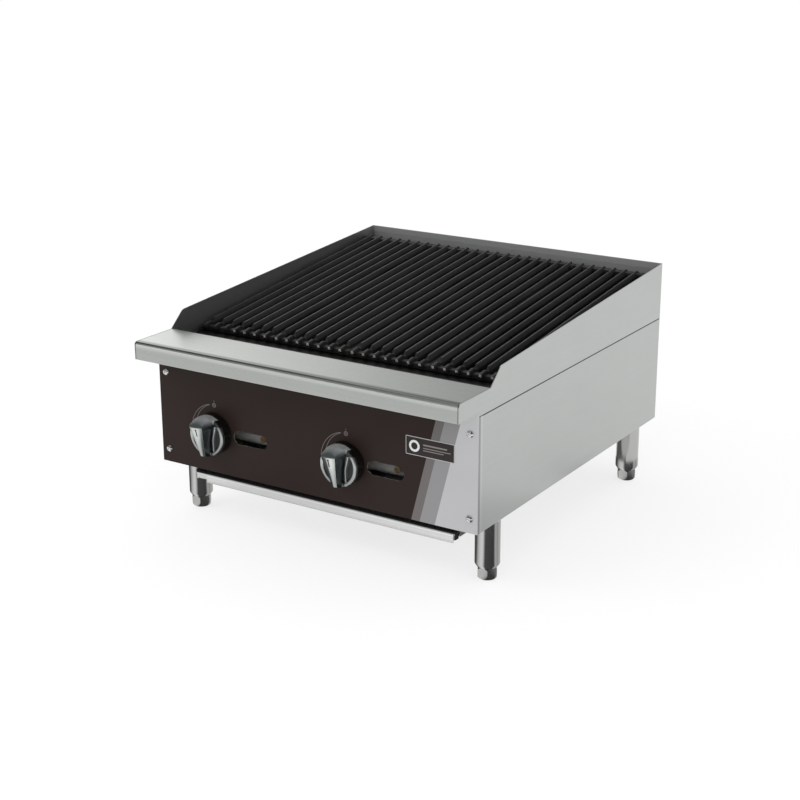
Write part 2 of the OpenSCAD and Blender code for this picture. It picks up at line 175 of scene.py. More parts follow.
def brushed(name, base, along="x", rough=(0.26, 0.36), grain=900.0, depth=0.00003, cloud=0.03, smear=0.0, metal=1.0, seam=None, fold=None, gap=None, roll=None, bands=()):
    """Sheet steel with fine brushing along one axis, soft clouds in its tone, an optional heat or grease smear, and
    optional painted shade and painted highlights along a seam, a fold, a gap, a front bend and in level bands.
    """
    g = Graph(name)
    s = {"x": (9.0, grain, grain), "y": (grain, 9.0, grain), "z": (grain, grain, 9.0)}[along]
    lines = g.noise(1.0, 3.0, 0.6, g.scaled(s))
    soft = g.noise(4.5, 3.0, 0.55)
    col = g.mix(g.remap(soft, 0.3, 0.7, 0.0, 1.0), tone(base, 1 - cloud), tone(base, 1 + cloud))
    fine = g.remap(lines, 0.35, 0.65, 0.0, 1.0)
    col = g.mix(g.math("MULTIPLY", fine, 0.3), col, tone(base, 0.95))
    r = g.remap(lines, 0.3, 0.7, rough[0], rough[1])
    if smear:
        stain_and_shade = g.remap(g.noise(16.0, 5.0, 0.6), 0.45, 0.75, 0.0, 1.0, True)
        col = g.mix(g.math("MULTIPLY", stain_and_shade, smear), col, tone(base, 0.45))
        r = g.math("ADD", r, g.math("MULTIPLY", stain_and_shade, 0.18))
    if seam is not None:
        # the shadow and grime that sit along a folded joint
        z = g.xyz()[2]
        near = g.remap(g.math("ABSOLUTE", g.math("SUBTRACT", z, seam)), 0.0009, 0.0013, 1.0, 0.0)
        col = g.mix(g.math("MULTIPLY", near, 0.85), col, (0.012, 0.012, 0.012))
        g.link(g.math("SUBTRACT", metal, g.math("MULTIPLY", near, metal * 0.8)), g.bsdf.inputs["Metallic"])
    elif gap is None:
        g.set(Metallic=metal)
    if fold is not None:
        # the rounded fold along the front edge, painted into the colour: a line of painted shade and a painted
        # highlight behind it
        back = g.math("SUBTRACT", g.xyz()[1], fold)
        col = g.mix(g.remap(back, 0.0042, 0.0056, 1.0, 0.0), col, tone(base, 0.66))
        shine = g.math("MULTIPLY", g.remap(back, 0.0050, 0.0064, 0.0, 1.0), g.remap(back, 0.0095, 0.0125, 1.0, 0.0))
        col = g.mix(shine, col, tone(base, 1.12))
    if gap is not None:
        # painted shadow in the narrow channel between two faces in Y, below a height
        x, y, z = g.xyz()
        stain_and_shade = g.math("MAXIMUM", g.remap(y, gap[0], gap[0] + 0.0003, 0.0, 1.0), g.remap(z, gap[3], gap[3] + 0.0003, 0.0, 1.0))
        stain_and_shade = g.math("MULTIPLY", stain_and_shade, g.remap(y, gap[1], gap[1] + 0.0002, 1.0, 0.0))
        stain_and_shade = g.math("MULTIPLY", stain_and_shade, g.remap(z, gap[2], gap[2] + 0.0004, 1.0, 0.0))
        col = g.mix(stain_and_shade, col, (0.008, 0.008, 0.008))
        r = g.math("ADD", r, g.math("MULTIPLY", stain_and_shade, 0.3))
        g.link(g.math("SUBTRACT", metal, g.math("MULTIPLY", stain_and_shade, metal * 0.9)), g.bsdf.inputs["Metallic"])
    if roll is not None:
        # the front bend: painted shade where it leaves the top and painted highlights where it turns into the face,
        # standing in for the reflections of a rounder bend; dark joints at the two ends
        x, y, z = g.xyz()
        up = g.remap(z, roll[1] + 0.0030, roll[1] + 0.0042, 0.0, 1.0)
        painted_shade = g.math("MULTIPLY", g.remap(y, roll[0] + 0.0010, roll[0] + 0.0075, 1.0, 0.0), up)
        col = g.mix(g.math("MULTIPLY", painted_shade, 0.85), col, tone(base, 0.30))
        front = g.math("MULTIPLY", g.remap(y, roll[0] - 0.0030, roll[0] - 0.0042, 0.0, 1.0), g.math("SUBTRACT", 1.0, up))
        painted_bend_highlight = g.math("MULTIPLY", front, g.remap(z, roll[1] - 0.0060, roll[1] - 0.0015, 0.0, 1.0))
        col = g.mix(painted_bend_highlight, col, tone(base, 1.30))
        painted_bend_highlight = g.math("MULTIPLY", front, g.remap(z, roll[1] - 0.0002, roll[1] + 0.0010, 0.0, 1.0))
        col = g.mix(painted_bend_highlight, col, tone(base, 1.75))
        end = g.remap(g.math("ABSOLUTE", x), roll[2] - 0.0014, roll[2] - 0.0010, 0.0, 1.0)
        col = g.mix(g.math("MULTIPLY", end, g.remap(y, roll[0], roll[0] - 0.0010, 0.0, 0.75)), col, (0.02, 0.02, 0.02))
    # painted shade and painted highlights in level bands: each band is a height, a half width and a tone factor
    for z0, half, k in bands:
        near = g.remap(g.math("ABSOLUTE", g.math("SUBTRACT", g.xyz()[2], z0)), half * 0.7, half * 1.3, 1.0, 0.0)
        col = g.mix(near, col, tone(base, k))
    g.colour(col)
    g.rough(r)
    g.normal(g.bump(lines, 0.25, depth))
    return g.m


def turned(name, base, rough=(0.2, 0.3), metallic=1.0):
    """Round bar and tube stock: fine rings round the axis and a slightly uneven shine."""
    g = Graph(name)
    rings = g.noise(1.0, 2.0, 0.5, g.scaled((60.0, 60.0, 1500.0)))
    soft = g.noise(22.0, 3.0, 0.5)
    g.colour(g.mix(g.remap(soft, 0.3, 0.7, 0.0, 1.0), tone(base, 0.95), tone(base, 1.04)))
    g.rough(g.remap(rings, 0.3, 0.7, rough[0], rough[1]))
    g.set(Metallic=metallic)
    g.normal(g.bump(rings, 0.2, 0.00003))
    return g.m


def casting(name, base, rough=(0.46, 0.66), spec=0.3, pits=1.0):
    """Sand-cast, seasoned iron: pebbled skin, small pits, and drier and oilier patches."""
    g = Graph(name)
    grain = g.noise(900.0, 3.0, 0.6)
    lumps = g.noise(140.0, 4.0, 0.6)
    patch = g.noise(14.0, 4.0, 0.6)
    v = g.nt.nodes.new("ShaderNodeTexVoronoi")
    v.inputs["Scale"].default_value = 260.0
    g.link(g.obj, v.inputs["Vector"])
    pit = g.remap(v.outputs["Distance"], 0.0, 0.35, 0.0, 1.0, True)
    col = g.mix(g.remap(patch, 0.35, 0.7, 0.0, 1.0), tone(base, 0.75), tone(base, 1.3))
    col = g.mix(g.math("MULTIPLY", g.remap(lumps, 0.5, 0.75, 0.0, 1.0), 0.4), col, tone(base, 1.9))
    g.colour(col)
    g.rough(g.remap(patch, 0.3, 0.7, rough[0], rough[1]))
    g.set(Metallic=0.0, Specular_IOR_Level=spec)
    n1 = g.bump(lumps, 0.5, 0.0006)
    n2 = g.bump(grain, 0.35, 0.00025, n1)
    g.normal(g.bump(pit, 0.25 * pits, 0.0004, n2))
    return g.m


STEEL = (0.50, 0.512, 0.505)
M = {}
M["sheet_x"] = brushed("stainless_brushed_x", STEEL, "x")
M["sheet_y"] = brushed("stainless_brushed_y", STEEL, "y", rough=(0.28, 0.35), seam=0.2859, fold=-0.2920)
M["ledge"] = brushed("stainless_ledge", (0.50, 0.512, 0.500), "x", rough=(0.26, 0.34), roll=(-0.3445, 0.3155, 0.3038))
M["guard_x"] = brushed("stainless_guard_rear", (0.47, 0.48, 0.475), "x", rough=(0.3, 0.42), metal=0.6)
M["guard_y"] = brushed("stainless_guard_side", STEEL, "y", rough=(0.28, 0.35), metal=0.92, seam=0.2859)
M["tray"] = brushed("stainless_tray", (0.59, 0.60, 0.595), "x", rough=(0.25, 0.36), gap=(-0.2722, -0.2618, 0.0868, 0.0824))
# the hem's bands: painted shade on the top of the roll, a painted highlight just below it, and a line of painted shade
# near the bottom edge
M["hem"] = brushed("stainless_pull_hem", (0.655, 0.66, 0.655), "x", rough=(0.28, 0.36), metal=0.12,
                   bands=((0.0828, 0.0007, 0.80), (0.0800, 0.0008, 1.25), (0.0690, 0.0006, 0.72)))
M["frame_x"] = brushed("mill_steel_x", (0.36, 0.365, 0.37), "x", rough=(0.38, 0.5), grain=500.0)
M["frame_y"] = brushed("mill_steel_y", (0.36, 0.365, 0.37), "y", rough=(0.38, 0.5), grain=500.0)
M["fire_x"] = brushed("heat_dulled_x", (0.20, 0.19, 0.18), "x", rough=(0.45, 0.6), grain=350.0, cloud=0.12, smear=0.6)
M["fire_y"] = brushed("heat_dulled_y", (0.20, 0.19, 0.18), "y", rough=(0.45, 0.6), grain=350.0, cloud=0.12, smear=0.6)
M["iron"] = casting("cast_iron_burners", (0.022, 0.022, 0.022))
M["grate"] = casting("cast_iron_grate", (0.0175, 0.0178, 0.0168), rough=(0.42, 0.56), spec=0.27)
M["grate_ridge"] = casting("cast_iron_worn_ridge", (0.0200, 0.0200, 0.0190), rough=(0.34, 0.44), spec=0.48, pits=0.5)
# bright nose tips: a painted highlight on the rounded front ends of the bars
M["grate_tip"] = casting("cast_iron_painted_tip_highlight", (0.30, 0.29, 0.27), rough=(0.3, 0.4), spec=0.5, pits=0.5)
M["soot"] = brushed("sooted_steel", (0.035, 0.033, 0.031), "x", rough=(0.5, 0.65), grain=350.0, cloud=0.2, smear=0.6)
M["brass"] = turned("machined_brass", (0.50, 0.37, 0.18), (0.26, 0.38), metallic=0.6)
M["pipe"] = turned("plain_pipe", (0.80, 0.80, 0.79), (0.4, 0.55), metallic=0.12)
M["tube"] = turned("drawn_tube", (0.62, 0.63, 0.65), (0.2, 0.3))
M["leg"] = brushed("stainless_leg", (0.50, 0.50, 0.495), "z", rough=(0.10, 0.16))
M["foot"] = turned("turned_foot", (0.42, 0.42, 0.415), (0.24, 0.32))
M["screw"] = turned("plated_screw", (0.72, 0.73, 0.74), (0.16, 0.24))
# the front rail is coloured near black as painted shade, for the shadow in the gap under the control panel
M["rail_painted_shade"] = brushed("rail_in_painted_shade", (0.05, 0.05, 0.05), "x", rough=(0.5, 0.6), grain=350.0)


def panel_material():
    """Printed control panel: dark brown field, three slanted bands of grey and silver at the right, and a dial mark by each knob."""
    g = Graph("panel_print")
    x, y, z = g.xyz()
    u = g.math("SUBTRACT", x, g.math("MULTIPLY", g.math("SUBTRACT", z, 0.1828), 0.2565))
    front = g.math("LESS_THAN", y, -0.2929)

    def step(b):
        return g.remap(u, b - 0.00015, b + 0.00015, 0.0, 1.0)

    s1, s2, s3 = step(0.2096), step(0.2248), step(0.2516)
    speck = g.noise(2500.0, 2.0, 0.6)
    cloud = g.noise(9.0, 3.0, 0.5)
    brown = g.mix(g.remap(cloud, 0.3, 0.7, 0.0, 1.0), (0.0250, 0.0160, 0.0140), (0.0280, 0.0180, 0.0158))
    col = g.mix(s1, brown, (0.150, 0.138, 0.138))
    col = g.mix(s2, col, (0.262, 0.262, 0.268))
    silver = g.mix(g.remap(cloud, 0.3, 0.7, 0.0, 1.0), (0.470, 0.470, 0.482), (0.485, 0.485, 0.497))
    # painted light: the silver is made lighter towards the top of the panel
    silver = g.mix(g.remap(z, 0.19, 0.285, 0.0, 1.0), silver, (0.570, 0.570, 0.582))
    col = g.mix(s3, col, silver)
    # dial marks: a dot over the knob and a wedge of two thin arcs that opens anticlockwise
    total = None
    for kx in KNOB_X:
        dx = g.math("SUBTRACT", x, kx)
        dz = g.math("SUBTRACT", z, KNOB_Z)
        r = g.math("SQRT", g.math("ADD", g.math("MULTIPLY", dx, dx), g.math("MULTIPLY", dz, dz)))
        ang = g.math("ARCTAN2", g.math("MULTIPLY", dx, -1.0), dz)

        def band(value, centre, half, soft=0.0002):
            d = g.math("ABSOLUTE", g.math("SUBTRACT", value, centre))
            return g.remap(d, half - soft, half + soft, 1.0, 0.0)

        inside = g.math("MULTIPLY", g.remap(ang, 0.20, 0.215, 0.0, 1.0), g.remap(ang, 1.565, 1.575, 1.0, 0.0))
        outer = band(r, 0.0478, 0.00055)
        inner_r = g.remap(ang, 0.21, 1.45, 0.0470, 0.0392)
        inner = band(r, inner_r, 0.00055)
        close = g.math("MULTIPLY", band(ang, 1.55, 0.012, 0.004), g.remap(r, 0.0390, 0.0392, 0.0, 1.0))
        close = g.math("MULTIPLY", close, g.remap(r, 0.0480, 0.0482, 1.0, 0.0))
        arcs = g.math("MULTIPLY", inside, g.math("MAXIMUM", outer, g.math("MAXIMUM", inner, close)))
        d2 = g.math("SUBTRACT", dz, 0.0468)
        rd = g.math("SQRT", g.math("ADD", g.math("MULTIPLY", dx, dx), g.math("MULTIPLY", d2, d2)))
        ring = g.math("MAXIMUM", band(rd, 0.0032, 0.0007), g.remap(rd, 0.0012, 0.0016, 1.0, 0.0))
        tick = g.math("MULTIPLY", band(dx, 0.0, 0.0005), band(dz, 0.0535, 0.0016))
        mark = g.math("MAXIMUM", arcs, g.math("MAXIMUM", ring, tick))
        total = mark if total is None else g.math("MAXIMUM", total, mark)
    total = g.math("MULTIPLY", total, front)
    col = g.mix(g.math("MULTIPLY", total, 0.9), col, (0.175, 0.150, 0.150))
    # bare steel on the edges and the back of the sheet
    col = g.mix(front, (0.42, 0.43, 0.43), col)
    g.colour(col)
    metal = g.math("MAXIMUM", s3, g.math("SUBTRACT", 1.0, front))
    g.link(g.math("MULTIPLY", metal, 0.35), g.bsdf.inputs["Metallic"])
    base = g.remap(speck, 0.3, 0.7, 0.36, 0.46)
    g.rough(g.math("SUBTRACT", base, g.math("MULTIPLY", metal, 0.06)))
    g.set(Specular_IOR_Level=0.1)
    g.normal(g.bump(speck, 0.12, 0.00003))
    return g.m


def chrome_material():
    """Chrome-plated knob in a lit copy and a copy in painted shade: a bright grip with a small dark mark, its face and
    the lip round each recess bright as painted light, flanks in painted shade, the grip face darkening towards the
    bottom, a top in painted shade that lightens towards the rim, and a dark recess inside the lip on each side.
    """
    g = Graph("knob_chrome")
    x, y, z = g.xyz()
    ax = g.math("ABSOLUTE", x)
    p = g.math("MULTIPLY", y, -1.0)
    r = g.math("SQRT", g.math("ADD", g.math("MULTIPLY", x, x), g.math("MULTIPLY", z, z)))
    smooth = g.noise(60.0, 2.0, 0.5)
    fine = g.noise(1400.0, 2.0, 0.5)
    streak = g.noise(1.0, 3.0, 0.6, g.scaled((700.0, 700.0, 90.0)))
    # the lit copy of the chrome: painted light for the grip face and the lips
    bright = g.mix(g.remap(smooth, 0.3, 0.7, 0.0, 1.0), (0.56, 0.58, 0.57), (0.64, 0.66, 0.65))
    bright = g.mix(g.math("MULTIPLY", g.remap(streak, 0.4, 0.7, 0.0, 1.0), 0.35), bright, (0.38, 0.40, 0.40))
    # the copy of the chrome in painted shade, for the flanks and the rest of the knob
    painted_shade = g.mix(g.remap(smooth, 0.3, 0.7, 0.0, 1.0), (0.13, 0.142, 0.148), (0.165, 0.178, 0.185))
    # the lip line of the recess, measured from the middle of the grip
    lip = g.remap(z, -0.010, 0.022, LIP_X0, LIP_X1, True)
    beyond = g.math("SUBTRACT", ax, lip)
    low = g.remap(p, 0.0235, 0.0255, 1.0, 0.0)
    edge = g.math("MULTIPLY", g.remap(beyond, -0.0020, -0.0014, 0.0, 1.0), low)
    edge = g.math("MULTIPLY", edge, g.remap(p, 0.0155, 0.0175, 0.0, 1.0))
    edge = g.math("MULTIPLY", edge, g.remap(z, 0.0165, 0.0190, 1.0, 0.0))
    face = g.math("MULTIPLY", g.remap(z, 0.0205, 0.0225, 1.0, 0.0), g.remap(g.math("SUBTRACT", p, g.math("MULTIPLY", z, 0.225)), 0.0405, 0.0425, 0.0, 1.0))
    top = g.math("MULTIPLY", g.remap(z, 0.0205, 0.0225, 0.0, 1.0), g.remap(g.math("SUBTRACT", p, g.math("MULTIPLY", z, 0.05)), 0.0110, 0.0135, 0.0, 1.0))
    top = g.math("MULTIPLY", top, g.remap(g.math("SUBTRACT", ax, g.math("MULTIPLY", g.math("SUBTRACT", 0.048, p), 0.25)), 0.0125, 0.0135, 1.0, 0.0))
    # painted shade: the lit chrome of the grip darkens towards the bottom
    bright = g.mix(g.remap(z, -0.026, 0.014, 0.55, 0.0, True), bright, (0.20, 0.21, 0.21))
    # the top in painted shade: dark nearer the axis, lighter towards the rim
    shade = g.mix(g.remap(r, 0.0262, 0.0350, 0.0, 1.0, True), (0.055, 0.064, 0.066), (0.40, 0.42, 0.42))
    col = g.mix(g.math("MAXIMUM", edge, face), painted_shade, bright)
    col = g.mix(top, col, shade)
    core = g.math("MULTIPLY", g.remap(beyond, 0.0016, 0.0022, 0.0, 1.0), g.remap(r, 0.0270, 0.0276, 1.0, 0.0))
    core = g.math("MULTIPLY", core, g.math("MULTIPLY", low, g.remap(p, 0.0145, 0.0150, 0.0, 1.0)))
    core = g.math("MULTIPLY", core, g.remap(z, 0.0160, 0.0166, 1.0, 0.0))
    col = g.mix(core, col, (0.020, 0.024, 0.024))
    mark = g.math("MULTIPLY", g.remap(g.math("ABSOLUTE", x), 0.0010, 0.0013, 1.0, 0.0), g.remap(g.math("ABSOLUTE", g.math("SUBTRACT", z, 0.0125)), 0.0062, 0.0066, 1.0, 0.0))
    foot = g.math("MULTIPLY", g.remap(g.math("ABSOLUTE", x), 0.0016, 0.0019, 1.0, 0.0), g.remap(g.math("ABSOLUTE", g.math("SUBTRACT", z, 0.0176)), 0.0009, 0.0012, 1.0, 0.0))
    mark = g.math("MULTIPLY", g.math("MAXIMUM", mark, foot), g.math("LESS_THAN", y, -0.040))
    col = g.mix(mark, col, (0.012, 0.012, 0.012))
    g.colour(col)
    plate = g.math("SUBTRACT", 1.0, g.math("MAXIMUM", mark, core))
    g.link(g.math("MULTIPLY", plate, g.math("SUBTRACT", 1.0, g.math("MULTIPLY", top, 0.75))), g.bsdf.inputs["Metallic"])
    flank = g.math("MULTIPLY", g.math("SUBTRACT", 1.0, face), 0.14)
    soft = g.math("MAXIMUM", g.math("MAXIMUM", flank, g.math("MULTIPLY", core, 0.25)), g.math("MAXIMUM", g.math("MULTIPLY", edge, 0.22), g.math("MULTIPLY", top, 0.25)))
    g.rough(g.math("ADD", g.remap(fine, 0.3, 0.7, 0.10, 0.17), soft))
    g.normal(g.bump(fine, 0.05, 0.00002))
    return g.m


def badge_material(cx, cz, w, h):
    """Blank nameplate: dark field, a thin light border, a plain ring and three rules."""
    g = Graph("badge_print")
    x, y, z = g.xyz()
    dx = g.math("SUBTRACT", x, cx)
    dz = g.math("SUBTRACT", z, cz)
    ax = g.math("ABSOLUTE", dx)
    az = g.math("ABSOLUTE", dz)
    edge = g.math("MAXIMUM", g.math("SUBTRACT", ax, w / 2), g.math("SUBTRACT", az, h / 2))
    border = g.remap(edge, -0.0012, -0.0010, 0.0, 1.0)
    rx = g.math("ADD", dx, w / 2 - 0.0155)
    rr = g.math("SQRT", g.math("ADD", g.math("MULTIPLY", rx, rx), g.math("MULTIPLY", dz, dz)))
    ring = g.remap(g.math("ABSOLUTE", g.math("SUBTRACT", rr, 0.0075)), 0.0017, 0.0020, 1.0, 0.0)
    rules = None
    for off, half, lo, hi in ((0.0042, 0.0011, -0.012, 0.030), (-0.0008, 0.0006, -0.012, 0.036), (-0.0046, 0.0006, -0.012, 0.024)):
        line = g.remap(g.math("ABSOLUTE", g.math("SUBTRACT", dz, off)), half, half + 0.0002, 1.0, 0.0)
        line = g.math("MULTIPLY", line, g.math("MULTIPLY", g.math("GREATER_THAN", dx, lo), g.math("LESS_THAN", dx, hi)))
        rules = line if rules is None else g.math("MAXIMUM", rules, line)
    cloud = g.noise(30.0, 2.0, 0.5)
    col = g.mix(g.remap(cloud, 0.3, 0.7, 0.0, 1.0), (0.020, 0.014, 0.013), (0.026, 0.018, 0.017))
    col = g.mix(g.math("MULTIPLY", rules, 0.7), col, (0.30, 0.28, 0.28))
    col = g.mix(ring, col, (0.72, 0.72, 0.72))
    col = g.mix(border, col, (0.46, 0.46, 0.46))
    g.colour(col)
    g.rough(g.remap(cloud, 0.3, 0.7, 0.34, 0.42))
    g.set(Specular_IOR_Level=0.25)
    g.normal(g.bump(g.math("MAXIMUM", g.math("MAXIMUM", ring, rules), border), 0.3, 0.0001))
    return g.m


# ------------------------------------------------------------------ mesh tools


def obj_from(name, verts, faces, mat, smooth_angle=35.0):
    me = bpy.data.meshes.new(name)
    me.from_pydata([tuple(v) for v in verts], [], faces)
    bm = bmesh.new()
    bm.from_mesh(me)
    bmesh.ops.recalc_face_normals(bm, faces=bm.faces)
    bm.to_mesh(me)
    bm.free()
    me.validate()
    finish_mesh(me, smooth_angle)
    ob = bpy.data.objects.new(name, me)
    bpy.context.scene.collection.objects.link(ob)
    me.materials.append(mat)
    return ob


def finish_mesh(me, smooth_angle=35.0):
    me.shade_smooth()
    me.set_sharp_from_angle(angle=math.radians(smooth_angle))


def lathe(profile, centre, segments=96, axis="z"):
    """Closed surface of revolution. profile is (r, h) from the axis back to the axis."""
    verts, faces, rings = [], [], []
    for r, h in profile:
        if r < 1e-9:
            rings.append([len(verts)])
            verts.append((0.0, 0.0, h))
        else:
            rings.append(list(range(len(verts), len(verts) + segments)))
            for i in range(segments):
                t = 2 * math.pi * i / segments
                verts.append((r * math.cos(t), r * math.sin(t), h))
    for a, b in zip(rings, rings[1:]):
        for i in range(segments):
            j = (i + 1) % segments
            if len(a) == 1 and len(b) == 1:
                continue
            if len(a) == 1:
                faces.append((a[0], b[i], b[j]))
            elif len(b) == 1:
                faces.append((a[i], b[0], a[j]))
            else:
                faces.append((a[i], b[i], b[j], a[j]))
    if axis == "-y":
        verts = [(x, -h, y) for x, y, h in verts]
    c = Vector(centre)
    return [tuple(Vector(v) + c) for v in verts], faces


def loft(rings, close=True):
    """Skin over rings of equal size, with flat end caps."""
    n = len(rings[0])
    verts = [v for r in rings for v in r]
    faces = []
    for k in range(len(rings) - 1):
        for i in range(n):
            j = (i + 1) % n
            faces.append((k * n + i, k * n + j, (k + 1) * n + j, (k + 1) * n + i))
    if close:
        faces.append(tuple(range(n)))
        faces.append(tuple((len(rings) - 1) * n + i for i in reversed(range(n))))
    return verts, faces


def merged(parts):
    verts, faces = [], []
    for v, f in parts:
        off = len(verts)
        verts += v
        faces += [tuple(i + off for i in q) for q in f]
    return verts, faces


def soft_box(lo, hi, r, segs=2):
    """Box with rounded edges, as lists of vertices and faces."""
    bm = bmesh.new()
    bmesh.ops.create_cube(bm, size=1.0)
    for v in bm.verts:
        v.co = Vector([lo[i] + (v.co[i] + 0.5) * (hi[i] - lo[i]) for i in range(3)])
    bmesh.ops.bevel(bm, geom=bm.edges[:], offset=r, segments=segs, profile=0.5, affect="EDGES")
    bm.verts.index_update()
    verts = [tuple(v.co) for v in bm.verts]
    faces = [tuple(v.index for v in f.verts) for f in bm.faces]
    bm.free()
    return verts, faces


def bake_modifiers(ob):
    """Replaces the object's mesh with the result of its modifiers."""
    dg = bpy.context.evaluated_depsgraph_get()
    me = bpy.data.meshes.new_from_object(ob.evaluated_get(dg))
    old = ob.data
    ob.modifiers.clear()
    ob.data = me
    bpy.data.meshes.remove(old)
    return ob


def centre_of(node):
    lo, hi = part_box(node)
    return (lo + hi) / 2, lo, hi


# ------------------------------------------------------------------ knobs

KNOB_X, KNOB_Z, KNOB_BACK = [], 0.0, 0.0
for side in ("left", "right"):
    c, lo, hi = centre_of("knob_" + side)
    KNOB_X.append(c.x)
    KNOB_Z = c.z
    KNOB_BACK = hi.y
KNOB_R = (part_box("knob_left")[1].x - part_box("knob_left")[0].x) / 2
KNOB_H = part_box("knob_left")[1].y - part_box("knob_left")[0].y


LIP_X0, LIP_X1 = 0.0118, 0.0192


def knob_mesh(name):
    """Round skirt with a crowned upright grip that flares into it at the top, and a lipped recess on each side, remeshed so that every edge has a small radius. Local frame: axis along -Y, back face at y = 0."""
    R = KNOB_R / MM - 0.25
    H = KNOB_H / MM - 0.2
    prof = [(0, 0.2), (R - 2.2, 0.2), (R - 0.8, 0.5), (R, 1.6), (R, 4), (R - 0.2, 14), (R - 0.6, 20.0), (R - 1.3, 21.8), (R - 2.2, 22.4),
            (R - 6.0, 22.2), (R - 6.8, 21.6), (R - 7.5, 18.8), (R - 8.2, 18.0), (R - 20, 18.0), (0, 18.0)]
    base = lathe([(r * MM, h * MM) for r, h in prof], (0, 0, 0), 160, "-y")

    def ease(t):
        t = min(1.0, max(0.0, t))
        return t * t * (3 - 2 * t)

    def front(z):
        if z > 22.0:
            pts = [(22.0, H), (23.4, H - 0.5), (25.0, H - 1.6), (27.0, H - 3.4), (29.0, H - 6.6), (31.0, H - 11.4), (32.6, H - 17.0), (33.8, H - 24.0), (34.6, H - 33.0)]
            for (z0, p0), (z1, p1) in zip(pts, pts[1:]):
                if z <= z1:
                    return p0 + (p1 - p0) * (z - z0) / (z1 - z0)
            return pts[-1][1]
        if z < -30:
            return H - 11.7 - (-30 - z) * 2.2
        return H - (22.0 - z) * 0.225

    rings = []
    zs = [-33.4, -32.6, -31.4, -30] + [-28.5 + 1.5 * i for i in range(33)] + [21.0, 22.0, 22.8, 23.6, 24.5, 25.5, 26.5, 27.5, 28.5, 29.5, 30.5, 31.5, 32.3, 33.0, 33.6, 34.0]
    n, m = 22, 10
    for z in sorted(set(zs)):
        pf = max(front(z), 14.0)
        t = min(1.0, max(0.0, (z + 30) / 52.0))
        wf = 4.8 + (13.2 - 4.8) * t ** 1.15
        wb = (LIP_X0 + (LIP_X1 - LIP_X0) * ease((z + 10) / 32.0)) / MM - 0.6
        flare = ease((z - 13) / 10.0)
        crown = 1.1 + 0.3 * t
        sides = []
        for i in range(n + 1):
            s_ = i / n
            p = 12.0 + (pf - crown - 12.0) * s_
            hollow = (1 - s_) ** (2.6 - 1.6 * flare)
            w = wf + (wb - wf) * hollow - (1 - flare) * 2.2 * math.sin(math.pi * s_) * t
            sides.append((w, p))
        # crowned face: from the flank round to the middle
        for i in range(1, m + 1):
            a = i / m
            sides.append((wf * (1 - a), pf - crown * (1 - a) ** 2.4))
        ring = []
        for w, p in sides:
            lim = (R - 0.4) - max(0.0, p - 27.0) * 0.30
            ring.append((min(w, math.sqrt(max(0.01, lim * lim - z * z))), p))
        half = ring[:-1]
        full = [(-w, p) for w, p in half] + [(0.0, ring[-1][1])] + [(w, p) for w, p in reversed(half)]
        rings.append([(x * MM, -p * MM, z * MM) for x, p in full])
    bar = loft(rings)
    parts = [base, bar]
    # raised lip between the grip's flank and each recess
    for sgn in (-1, 1):
        tube = []
        for k in range(37):
            z = -31.5 + 49.5 * k / 36
            x = (LIP_X0 + (LIP_X1 - LIP_X0) * ease((z + 10) / 32.0)) / MM + 0.5
            tube.append([(sgn * (x + u) * MM, -h * MM, z * MM) for u, h in ((1.5, 17.0), (1.5, 21.4), (1.0, 22.1), (-1.0, 22.1), (-1.6, 21.4), (-1.6, 17.0))])
        parts.append(loft(tube))
    v, f = merged(parts)
    ob = obj_from(name, v, f, M["chrome"])
    mod = ob.modifiers.new("r", "REMESH")
    mod.mode = "VOXEL"
    mod.voxel_size = 0.5 * MM
    mod = ob.modifiers.new("s", "SMOOTH")
    mod.factor = 0.5
    mod.iterations = 5
    bake_modifiers(ob)
    ob.data.shade_smooth()
    return ob


M["chrome"] = chrome_material()
proto = knob_mesh("knob_shell_left")
for side, kx in zip(("left", "right"), KNOB_X):
    if side == "left":
        ob = proto
    else:
        ob = bpy.data.objects.new("knob_shell_right", proto.data)
        bpy.context.scene.collection.objects.link(ob)
    ob.location = (kx, KNOB_BACK, KNOB_Z)
    ob.rotation_euler = (0.0, math.radians(-4.0), 0.0)
    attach(ob, side + "_knob")
    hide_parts("knob_" + side)

M["panel"] = panel_material()

# ------------------------------------------------------------------ badge

panel_lo, panel_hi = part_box("control_panel")
BX0, BX1, BZ0, BZ1 = 0.1790, 0.2650, 0.2060, 0.2360
M["badge"] = badge_material((BX0 + BX1) / 2, (BZ0 + BZ1) / 2, BX1 - BX0, BZ1 - BZ0)


def badge():
    r, t = 0.0012, 0.0006
    cx, cz = (BX0 + BX1) / 2, (BZ0 + BZ1) / 2
    hw, hh = (BX1 - BX0) / 2, (BZ1 - BZ0) / 2

    def outline(inset, y):
        pts = []
        for sx, sz, a0 in ((1, 1, 0), (-1, 1, 90), (-1, -1, 180), (1, -1, 270)):
            for i in range(6):
                a = math.radians(a0 + 90 * i / 5)
                pts.append((cx + sx * (hw - r) + (r - inset) * math.cos(a), y, cz + sz * (hh - r) + (r - inset) * math.sin(a)))
        return pts

    y0 = panel_lo.y
    rings = [outline(0.0, y0 - 0.00001), outline(0.0, y0 - t + 0.0002), outline(0.0002, y0 - t)]
    v, f = loft(rings)
    ob = obj_from("badge_plate", v, f, M["badge"])
    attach(ob, "chassis")


badge()

# ------------------------------------------------------------------ grates

GA = math.radians(6.1)
GRATE_H = 75.1


